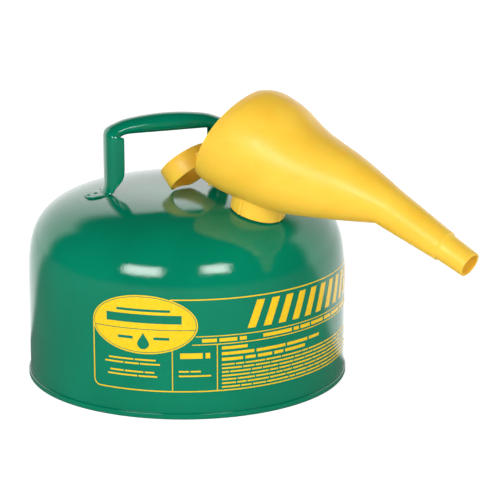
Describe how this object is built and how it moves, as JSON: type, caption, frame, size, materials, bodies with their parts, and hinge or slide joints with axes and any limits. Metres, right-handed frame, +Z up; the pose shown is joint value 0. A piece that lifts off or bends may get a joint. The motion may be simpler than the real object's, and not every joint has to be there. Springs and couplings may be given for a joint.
{
  "type": "safety gas can",
  "caption": "Low round steel safety can for fuel with a domed shoulder, carrying handle, self-closing sprung cap, flame arrester and a slip-on pouring funnel.",
  "frame": {"origin": "centre of the recessed bottom panel's underside; the standing rim is 4 mm lower", "axes": "+Z up along the can's axis, +X towards the filler neck and the pouring tip"},
  "size_m": [0.4569, 0.2858, 0.2699],
  "materials": {
    "green_enamel": "gloss baked enamel",
    "zinc_steel": "zinc plated",
    "bright_steel": "bright",
    "screen_wire": "woven wire",
    "black_rubber": "matt",
    "yellow_polyethylene": "satin moulded"
  },
  "bodies": {
    "can": {"can_body": "green_enamel", "can_bottom": "green_enamel", "carry_handle": "green_enamel", "filler_neck": "green_enamel", "neck_base_ring": "green_enamel", "arrester_flange": "zinc_steel", "arrester_outer_screen": "screen_wire", "arrester_inner_screen": "screen_wire", "arrester_end_cap": "zinc_steel", "arrester_snap_ring": "bright_steel", "hinge_bracket": "zinc_steel", "hinge_pin": "bright_steel", "hinge_pin_clip": "bright_steel", "return_spring": "bright_steel"},
    "cap": {"cap_lever": "zinc_steel", "thumb_pad": "black_rubber", "cap_stud": "bright_steel", "cap_washer": "zinc_steel", "cap_shell": "zinc_steel", "cap_gasket": "black_rubber", "gasket_retainer": "zinc_steel"},
    "funnel": {"funnel": "yellow_polyethylene"}
  },
  "joints": [
    {"name": "cap_hinge", "type": "hinge", "parent": "can", "child": "cap", "pos_m": [0.0721, -0.0038, 0.198], "axis": [0.1266, -0.9914, -0.0316], "range_deg": [0, 42], "stiffness_Nm_per_rad": 0.25, "springref_deg": -45.84},
    {"name": "funnel_swivel", "type": "hinge", "parent": "can", "child": "funnel", "pos_m": [0.0923, 0, 0.16], "axis": [0.2419, 0, 0.9703], "range_deg": [-6, 12]}
  ]
}
